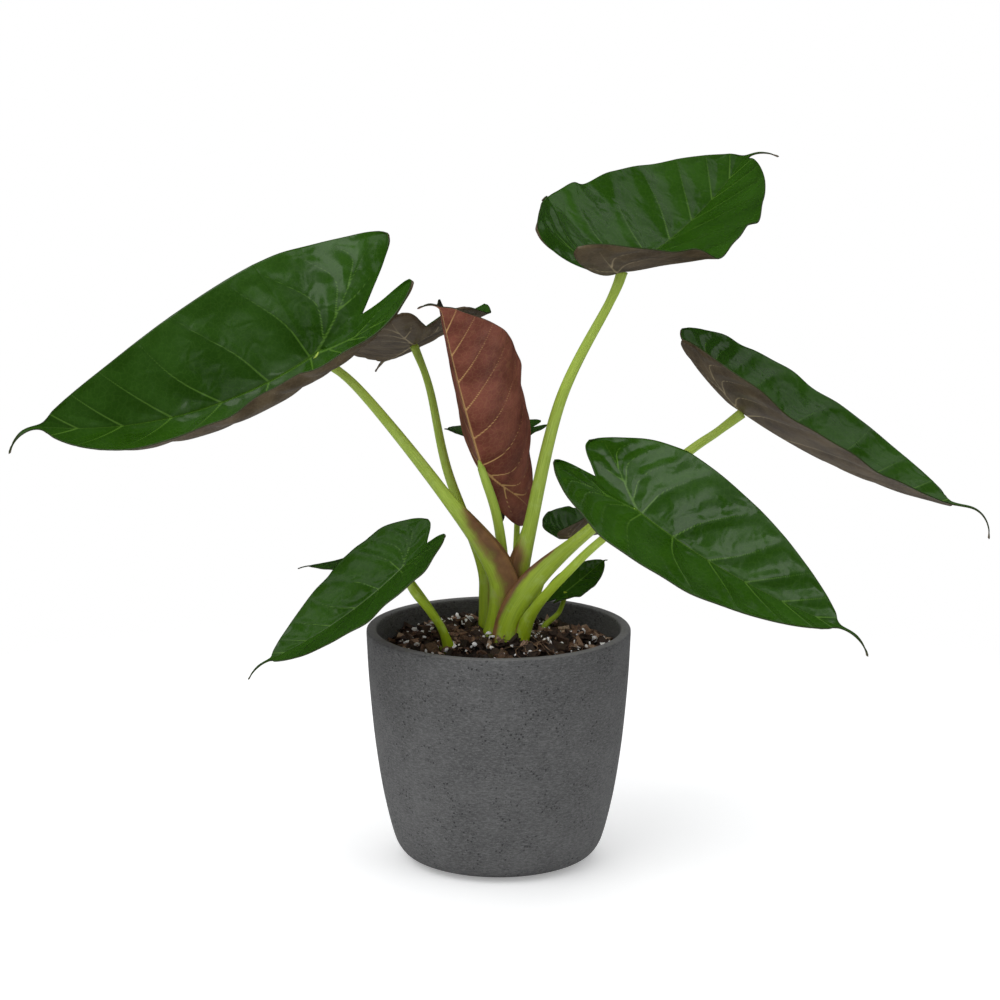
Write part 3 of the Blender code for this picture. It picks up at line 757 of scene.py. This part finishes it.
# ---------------------------------------------------------------- blades
def flat_outline(spec):
    tail = spec["tail"]
    outer = [(1.0, 0.0), (1.0 - 0.5 * tail, 0.0058)]
    for forward, out in BODY_OUTLINE:
        along = forward * (1.0 - tail) if forward > 0 else forward * spec["lobe"] / FULL_LOBE
        outer.append((along, out))
    inner = []
    for forward, out in LOBE_INNER_EDGE:
        share = (forward + FULL_LOBE) / (FULL_LOBE - FULL_NOTCH)
        inner.append((-spec["lobe"] + share * (spec["lobe"] - spec["notch"]), out))
    wide = np.array([1.0, spec["width"] / FULL_WIDTH])
    outer = smooth_curve(outer, 16) * wide
    edge = smooth_curve(inner, 16)[::-1] * wide
    midline = np.stack([np.linspace(1.0, -spec["notch"], 120), np.zeros(120)], 1)
    return outer, np.vstack([midline, edge[1:]])


def blade_frame(spec):
    heading, pitch, roll = (math.radians(spec[key]) for key in ("heading", "pitch", "roll"))
    forward = np.array(
        [math.cos(pitch) * math.cos(heading), math.cos(pitch) * math.sin(heading), math.sin(pitch)]
    )
    level = np.array([math.sin(heading), -math.cos(heading), 0.0])
    upright = np.cross(level, forward)
    right = level * math.cos(roll) + upright * math.sin(roll)
    up = upright * math.cos(roll) - level * math.sin(roll)
    return forward, right, up


def midrib(spec, steps=320):
    forward, right, up = blade_frame(spec)
    stations = np.linspace(-0.6, 1.0, steps)
    hook = smooth_step((stations - 0.84) / 0.16)
    bending = np.where(stations >= 0, spec["bend"] * stations, spec["back"] * stations)
    bend = np.radians(bending + spec["tip_bend"] * hook)
    turn = np.radians(np.where(stations >= 0, spec["side"] * stations, 0.0) + spec["tip_turn"] * hook)
    twist = np.radians(spec["twist"] * stations)[:, None]
    tangent = (
        (np.cos(bend) * np.cos(turn))[:, None] * forward
        + np.sin(bend)[:, None] * up
        + (np.cos(bend) * np.sin(turn))[:, None] * right
    )
    normal = np.cos(bend)[:, None] * up - np.sin(bend)[:, None] * forward
    across = np.cross(tangent, normal)
    across /= np.linalg.norm(across, axis=1)[:, None]
    normal = np.cross(across, tangent)
    places = np.zeros((steps, 3))
    step = (stations[1] - stations[0]) * spec["length"]
    places[1:] = np.cumsum((tangent[1:] + tangent[:-1]) / 2 * step, axis=0)
    at_junction = np.array([np.interp(0.0, stations, places[:, axis]) for axis in range(3)])
    places += np.array(spec["junction"]) - at_junction
    turned_across = across * np.cos(twist) + normal * np.sin(twist)
    turned_normal = normal * np.cos(twist) - across * np.sin(twist)
    return stations, places, turned_across, turned_normal


def blade_points(spec, rib, flat, side):
    stations, places, across, normal = rib
    forward, out = flat[..., 0], flat[..., 1]
    place, right, up = (
        np.stack([np.interp(forward, stations, part[:, axis]) for axis in range(3)], -1)
        for part in (places, across, normal)
    )
    hand = "right" if side > 0 else "left"
    back = np.clip(-forward / spec["lobe"], 0.0, 1.0)
    fold = np.radians(spec["fold_" + hand] + spec["lobe_" + hand] * back)
    reach = out * spec["length"]
    turn_rate = math.radians(spec["curl_" + hand] or 0.01) / (spec["width"] * spec["length"])
    level = (np.sin(fold + turn_rate * reach) - np.sin(fold)) / turn_rate
    rise = (np.cos(fold) - np.cos(fold + turn_rate * reach)) / turn_rate
    return place + right * (side * level)[..., None] + up * rise[..., None]


def vein_paths(spec):
    """The veins of one half on the flat blade: (points, width at the start, width at the end)."""
    wide = spec["width"] / FULL_WIDTH
    lobe = spec["lobe"] / FULL_LOBE
    veins = [(np.array([(-0.02, 0.0), (0.5, 0.0), (0.97, 0.0)]), 0.0165, 0.0050)]
    starts = (0.015, 0.160, 0.315, 0.470, 0.620, 0.755)
    for i, start in enumerate(starts):
        reach = 0.315 - 0.30 * max(0.0, start - 0.05) ** 1.35
        ahead = 0.10 + 0.16 * min(1.0, start / 0.25) + 0.03 * math.sin(2.3 * i)
        lean = 0.010 + 0.11 * min(1.0, start / 0.3)
        path = [(start, 0.0), (start + lean, reach * 0.42), (start + ahead, reach * 0.93)]
        veins.append((np.array(path), 0.0098 * (1 - 0.40 * start), 0.0042))
    costa = [(0.0, 0.0), (-0.10, 0.045), (-0.20, 0.095), (-0.315, 0.145)]
    veins.append((np.array(costa), 0.0120, 0.0045))
    branches = (
        ((-0.045, 0.020), (-0.085, 0.13), (0.00, 0.285)),
        ((-0.110, 0.050), (-0.175, 0.14), (-0.130, 0.262)),
        ((-0.190, 0.090), (-0.250, 0.15), (-0.235, 0.222)),
        ((-0.130, 0.060), (-0.200, 0.055), (-0.270, 0.060)),
    )
    veins += [(np.array(path), 0.0078, 0.0036) for path in branches]
    placed = []
    for path, first, last in veins:
        path = path.astype(float).copy()
        path[:, 0] = np.where(path[:, 0] < 0, path[:, 0] * lobe, path[:, 0])
        path[:, 1] *= wide
        placed.append((smooth_curve(path, 10), first, last))
    return placed


def vein_field(spec, flat):
    """For each point of the flat half: how much vein it holds, the raised rib, how strongly it takes painted
    shade in the crease beside a vein, and its distance to the nearest vein for the quilting between.
    """
    points = flat.reshape(-1, 2)
    mask = np.zeros(len(points))
    rib = np.zeros(len(points))
    nearest = np.full(len(points), 9.0)
    for path, first, last in vein_paths(spec):
        start, end = path[:-1], path[1:]
        step = end - start
        square = (step**2).sum(1) + 1e-12
        share = (((points[:, None, :] - start) * step).sum(-1) / square).clip(0, 1)
        gap = np.linalg.norm(points[:, None, :] - (start + share[..., None] * step), axis=-1)
        where = gap.argmin(1)
        gap = gap[np.arange(len(points)), where]
        along = (where + share[np.arange(len(points)), where]) / len(start)
        width = first + (last - first) * along
        mask = np.maximum(mask, np.exp(-((gap / (0.46 * width)) ** 2)) * (1.0 - 0.40 * along))
        rib = np.maximum(rib, np.exp(-((gap / (0.85 * width)) ** 2)) * width)
        nearest = np.minimum(nearest, gap)
    # painted shade: the nearer a vein, the more the finish darkens the crease beside it
    crease_shade = np.exp(-nearest / 0.018)
    return (
        mask.reshape(flat.shape[:2]),
        rib.reshape(flat.shape[:2]),
        crease_shade.reshape(flat.shape[:2]),
        nearest.reshape(flat.shape[:2]),
    )


def half_blade(spec, rib_line, side):
    """One half of a blade as a fine grid, its places and what its finish needs at each."""
    outer, inner = flat_outline(spec)
    length = spec["length"]
    along = max(24, round(1.65 * length / MESH_STEP))
    over = max(8, round(0.30 * length / MESH_STEP))
    shares = np.linspace(0.0, 1.0, along + 1)
    margin, middle = evenly_along(outer, shares), evenly_along(inner, shares)
    mix = np.linspace(0.0, 1.0, over + 1)[None, :, None]
    flat = middle[:, None, :] * (1.0 - mix) + margin[:, None, :] * mix
    placed = blade_points(spec, rib_line, flat, side)
    mask, rib, crease_shade, nearest = vein_field(spec, flat)
    down_rows = np.gradient(placed, axis=0)
    down_columns = np.gradient(placed, axis=1)
    normal = np.cross(down_columns, down_rows) * side
    size = np.linalg.norm(normal, axis=-1, keepdims=True)
    normal = np.where(size > 1e-12, normal / np.maximum(size, 1e-12), 0.0)
    out = np.clip(flat[..., 1] / spec["width"], 0.0, 1.0)
    from_midrib, from_margin = mix[..., 0], 1 - mix[..., 0]
    body = smooth_step(np.minimum(from_midrib * 12.0, 1.0)) * smooth_step(np.minimum(from_margin * 5.0, 1.0))
    puff = spec["quilt"] * (1.0 - np.exp(-((nearest / 0.030) ** 2))) * body * (length / 0.2)
    sink = -0.075 * rib * length
    phase = 0.7 if side > 0 else 2.1
    ripple = np.sin(2 * math.pi * spec["waves"] * flat[..., 0] + phase)
    ripple += 0.45 * np.sin(2 * math.pi * spec["waves"] * flat[..., 0] * 1.83 + 2.0 * phase)
    calm = smooth_step(np.clip((1.0 - flat[..., 0]) / 0.25, 0, 1))
    ripple *= spec["wave"] * out**3 * calm
    placed = placed + normal * (puff + sink + ripple)[..., None]
    edge = np.clip(1.0 - (1.0 - mix[..., 0]) * margin_gap(middle, margin, length), 0.0, 1.0)
    edge = np.broadcast_to(edge, mask.shape)
    tip = smooth_step((flat[..., 0] - (1.0 - 0.75 * spec["tail"])) / (0.4 * spec["tail"]))
    return placed, np.stack([mask * (1 - tip), np.maximum(edge, tip), crease_shade], -1), along, over


def margin_gap(middle, margin, length):
    """How many 1.6 mm widths lie between the midline and the margin, for each row."""
    return (np.linalg.norm(margin - middle, axis=1) * length / 0.0016)[:, None]


def make_blade(spec, finishes):
    rib_line = midrib(spec)
    points, faces, marks = [], [], []
    count = 0
    for side in (1, -1):
        placed, mark, along, over = half_blade(spec, rib_line, side)
        points.append(placed.reshape(-1, 3))
        marks.append(mark.reshape(-1, 3))
        rows = np.arange(along)[:, None]
        columns = np.arange(over)[None, :]
        corner = (count + rows * (over + 1) + columns).reshape(-1)
        quad = np.stack([corner, corner + 1, corner + over + 2, corner + over + 1], 1)
        faces.append(quad if side < 0 else quad[:, ::-1])
        count += len(points[-1])
    blade = from_lists("leaf_" + spec["name"], np.vstack(points), np.vstack(faces).tolist(), finishes)
    marks = np.vstack(marks)
    for column, name in enumerate(("vein", "edge", "crease_shade")):
        store(blade, name, np.ascontiguousarray(marks[:, column]))
    make_active(blade)
    bpy.ops.object.mode_set(mode="EDIT")
    bpy.ops.mesh.select_all(action="SELECT")
    bpy.ops.mesh.remove_doubles(threshold=0.00003)
    bpy.ops.mesh.dissolve_degenerate(threshold=0.00001)
    bpy.ops.object.mode_set(mode="OBJECT")
    thicken = blade.modifiers.new("thickness", "SOLIDIFY")
    thicken.thickness = BLADE_THICKNESS
    thicken.offset = 0.0
    thicken.material_offset = 1
    thicken.material_offset_rim = 0
    bpy.ops.object.modifier_apply(modifier="thickness")
    blade.data.shade_smooth()
    keep(blade, "blade_" + spec["finish"], "blade_" + spec["name"])


# ---------------------------------------------------------------- stalks
def stalk_top(spec):
    _, right, up = blade_frame(spec)
    lean = math.radians(spec["fold_left"] - spec["fold_right"]) / 2
    return np.array(spec["junction"]) - (up * math.cos(lean) + right * math.sin(lean)) * 0.0004


def stalk_run(spec):
    """Where a stalk goes on past the junction, under the blade along its midrib, for the leaf's run."""
    stations, places, across, normal = midrib(spec)
    lean = math.radians(spec["fold_left"] - spec["fold_right"]) / 2
    points = []
    for share in (0.25, 0.5, 0.75, 1.0):
        place, right, up = (
            np.array([np.interp(share * spec["run"], stations, part[:, axis]) for axis in range(3)])
            for part in (places, across, normal)
        )
        points.append(tuple(place - (up * math.cos(lean) + right * math.sin(lean)) * 0.0006))
    return points


def make_stalk(spec, finish):
    """A tapering stalk whose foot widens into a sheath with two thin wings."""
    at_offset = spec["name"] in OFFSET_LEAVES
    foot_height = (OFFSET_TOP if at_offset else CROWN_TOP) - 0.006
    foot = (*spec["base"], foot_height)
    path = smooth_curve([foot, *spec["stalk_path"], tuple(stalk_top(spec))], 24)
    if spec["run"]:
        path = np.vstack([path, stalk_run(spec)])
    length = float(np.linalg.norm(np.diff(path, axis=0), axis=1).sum())
    joined = 1.0 - spec["run"] * spec["length"] / length
    count = max(24, round(length / 0.0022))
    shares = np.linspace(0.0, 1.0, count + 1)
    centres = evenly_along(path, shares)
    sides = 40
    base_radius, low_radius, top_radius = spec["stalk"]
    radius_at = [(0.0, base_radius), (0.33, low_radius), (0.92 * joined, top_radius)]
    if spec["run"]:
        radius_at += [(joined, top_radius * 0.85), (1.0, 0.0007)]
    else:
        radius_at.append((joined, top_radius * 1.25))
    radius_shares, radii = zip(*radius_at)
    cover, wing, facing, blush = spec["sheath"] or (0.3, 0.0, (1.0, 0.0, 0.0), 1.0)
    points, faces, heights, sheaths, coordinates = [], [], [], [], []
    for i, centre in enumerate(centres):
        share = shares[i]
        ahead = Vector(centres[min(i + 1, count)] - centres[max(i - 1, 0)]).normalized()
        across = Vector(facing)
        across = (across - ahead * across.dot(ahead)).normalized()
        other = ahead.cross(across)
        radius = float(np.interp(share, radius_shares, radii))
        up_sheath = share / cover
        stand = wing * float(smooth_step((1.0 - up_sheath) / 0.55)) * (1.0 if up_sheath < 1 else 0.0)
        stand *= 0.72 + 0.28 * float(smooth_step(up_sheath / 0.4))
        for k in range(sides):
            turn = 2 * math.pi * k / sides
            folded = (turn + math.pi) % (2 * math.pi) - math.pi
            ridge = math.exp(-(((abs(folded) - 0.42) / 0.26) ** 2))
            broad = math.exp(-((folded / 1.0) ** 2))
            reach = radius + stand * (0.62 * ridge + 0.38 * broad)
            spot = Vector(centre) + across * reach * math.cos(turn) + other * reach * math.sin(turn)
            points.append(tuple(spot))
            heights.append(float(centre[2] - CROWN_TOP) / 0.25)
            tint = math.exp(-((folded / blush) ** 2))
            sheaths.append(min(1.0, stand / 0.004) * max(ridge, 0.85 * tint))
            coordinates.append((k / sides, share * length / 0.1))
    for i in range(count):
        for k in range(sides):
            low, high, after = i * sides, (i + 1) * sides, (k + 1) % sides
            faces.append((low + k, low + after, high + after, high + k))
    faces.append(tuple(range(sides - 1, -1, -1)))
    faces.append(tuple(range(count * sides, (count + 1) * sides)))
    stalk = from_lists("petiole_" + spec["name"], points, faces, [finish])
    store(stalk, "height", heights)
    store(stalk, "sheath", sheaths)
    layer = stalk.data.uv_layers.new(name="along")
    for loop in stalk.data.loops:
        layer.data[loop.index].uv = coordinates[loop.vertex_index]
    stalk.data.shade_smooth()
    keep(stalk, "stalk_green", "stalk_" + spec["name"])


def make_crowns(finish):
    """The crown tissue between the feet of the stalks, domed and just out of the soil."""
    for name, node, centre, radius, top in (
        ("crown_collar", "crown", (0.002, -0.008), 0.020, CROWN_TOP + 0.001),
        ("offset_collar", "offset_crown", (-0.038, -0.022), 0.0075, OFFSET_TOP + 0.001),
    ):
        deselect()
        place = (*centre, top - 0.006)
        bpy.ops.mesh.primitive_uv_sphere_add(segments=48, ring_count=24, radius=radius, location=place)
        dome = bpy.context.object
        dome.name = name
        bpy.ops.transform.resize(value=(1.0, 1.0, 0.012 / radius))
        bpy.ops.object.transform_apply(location=True, rotation=True, scale=True)
        dome.data.materials.append(finish)
        for attribute in ("height", "sheath"):
            dome.data.attributes.new(attribute, "FLOAT", "POINT")
        dome.data.uv_layers[0].name = "along"
        dome.data.shade_smooth()
        keep(dome, "crown_tissue", node)


# ---------------------------------------------------------------- floor, light, camera
def make_floor():
    """A pale disc that takes the shadow and fades into the white around it."""
    deselect()
    bpy.ops.mesh.primitive_circle_add(vertices=96, radius=1.0, fill_type="TRIFAN", location=(0, 0, -0.0002))
    floor = bpy.context.object
    floor.name = "floor"
    bpy.ops.object.transform_apply(location=True)
    board = Board("pale_floor")
    board.finish(Base_Color=(0.92, 0.92, 0.92), Roughness=0.9, Specular_IOR_Level=0.1)
    plain = Socket(board, board.shader.outputs[0])
    glow = board.node("ShaderNodeEmission", {}, {"Color": (1.0, 1.0, 1.0), "Strength": 0.28})
    brighter = board.node("ShaderNodeAddShader", {}, {0: plain, 1: glow})
    seen = board.node("ShaderNodeLightPath", output="Is Camera Ray")
    surface = board.node("ShaderNodeMixShader", {}, {0: seen, 1: plain, 2: brighter})
    far = board.node("ShaderNodeVectorMath", {"operation": "LENGTH"}, {0: board.place()}, output=1)
    clear = board.node("ShaderNodeBsdfTransparent")
    faded = board.node("ShaderNodeMixShader", {}, {0: board.band(far, 0.30, 0.75), 1: surface, 2: clear})
    board.feed(board.tree.nodes["Material Output"].inputs["Surface"], faded)
    floor.data.materials.append(board.material)


def make_world():
    """White where the camera sees it, an even fill for lighting, and near-dark in the leaves' gloss."""
    world = bpy.data.worlds.new("studio")
    bpy.context.scene.world = world
    board = Board("studio", world)
    board.tree.nodes.clear()
    sky = "ShaderNodeBackground"
    white = board.node(sky, {}, {"Color": (1.0, 1.0, 1.0), "Strength": 1.0})
    fill = board.node(sky, {}, {"Color": (0.97, 0.985, 1.0), "Strength": 0.76})
    mirrored = board.node(sky, {}, {"Color": (0.94, 0.97, 1.0), "Strength": 0.022})
    glossy = board.node("ShaderNodeLightPath", output="Is Glossy Ray")
    seen = board.node("ShaderNodeLightPath", output="Is Camera Ray")
    unseen = board.node("ShaderNodeMixShader", {}, {0: glossy, 1: fill, 2: mirrored})
    whole = board.node("ShaderNodeMixShader", {}, {0: seen, 1: unseen, 2: white})
    board.node("ShaderNodeOutputWorld", {}, {"Surface": whole})


def softbox(name, around, above, far, width, height, glow, mirrored=True):
    """A soft panel, placed by its bearing from the front (to the right), its height angle and distance."""
    middle = Vector((0.0, 0.0, 0.25))
    around, above = math.radians(around), math.radians(above)
    level = far * math.cos(above)
    place = middle + Vector((level * math.sin(around), -level * math.cos(around), far * math.sin(above)))
    light = bpy.data.lights.new(name, "AREA")
    light.shape = "RECTANGLE"
    light.size = width
    light.size_y = height
    light.energy = glow * math.pi * width * height
    made = bpy.data.objects.new(name, light)
    made.location = place
    made.visible_glossy = mirrored
    made.rotation_euler = (middle - place).to_track_quat("-Z", "Y").to_euler()
    bpy.context.scene.collection.objects.link(made)


def make_lights():
    softbox("key", -45.0, 53.0, 2.6, 2.2, 1.8, 1.85)
    softbox("front_panel", -20.0, 24.0, 3.0, 1.9, 1.5, 0.40)
    softbox("high_right", 47.0, 63.0, 2.0, 0.9, 0.9, 1.2)
    softbox("side_left", -102.0, 47.0, 2.0, 1.0, 1.0, 0.6)
    softbox("behind_right", 132.0, 42.0, 2.4, 1.3, 1.0, 0.38)
    softbox("back", 170.0, 44.0, 2.8, 2.0, 1.0, 1.9, mirrored=False)


def make_camera():
    """Eye level a little above the leaves, far enough back that the pot's sides stay nearly upright."""
    camera = bpy.data.cameras.new("camera")
    camera.sensor_width = 36.0
    camera.lens = 110.05
    camera.clip_start = 0.05
    made = bpy.data.objects.new("camera", camera)
    made.location = (0.001, -2.1332, 0.7082)
    made.rotation_euler = (math.radians(90.0 - 11.79), 0.0, 0.0)
    bpy.context.scene.collection.objects.link(made)
    bpy.context.scene.camera = made


def main():
    make_camera()
    make_world()
    make_lights()
    make_floor()
    make_pot()
    make_soil()
    make_mix()
    stalks = stalk_finish()
    make_crowns(stalks)
    make_bud()
    finishes = {
        "green": [
            blade_top_finish(
                "blade_green", (0.012, 0.046, 0.001), (0.028, 0.096, 0.003), (0.090, 0.195, 0.022), 0.23
            ),
            blade_under_finish(
                "blade_underside", (0.050, 0.034, 0.018), (0.112, 0.082, 0.046), (0.320, 0.255, 0.150), 0.50
            ),
        ],
        "purple": [
            blade_top_finish(
                "blade_young_face", (0.022, 0.014, 0.008), (0.040, 0.028, 0.014), (0.100, 0.070, 0.030), 0.38
            ),
            blade_under_finish(
                "blade_purple", (0.132, 0.036, 0.024), (0.258, 0.084, 0.056), (0.580, 0.340, 0.140), 0.40
            ),
        ],
    }
    for spec in LEAVES:
        make_stalk(spec, stalks)
        make_blade(spec, finishes[spec["finish"]])


main()
bpy.context.scene.view_settings.view_transform = "Standard"
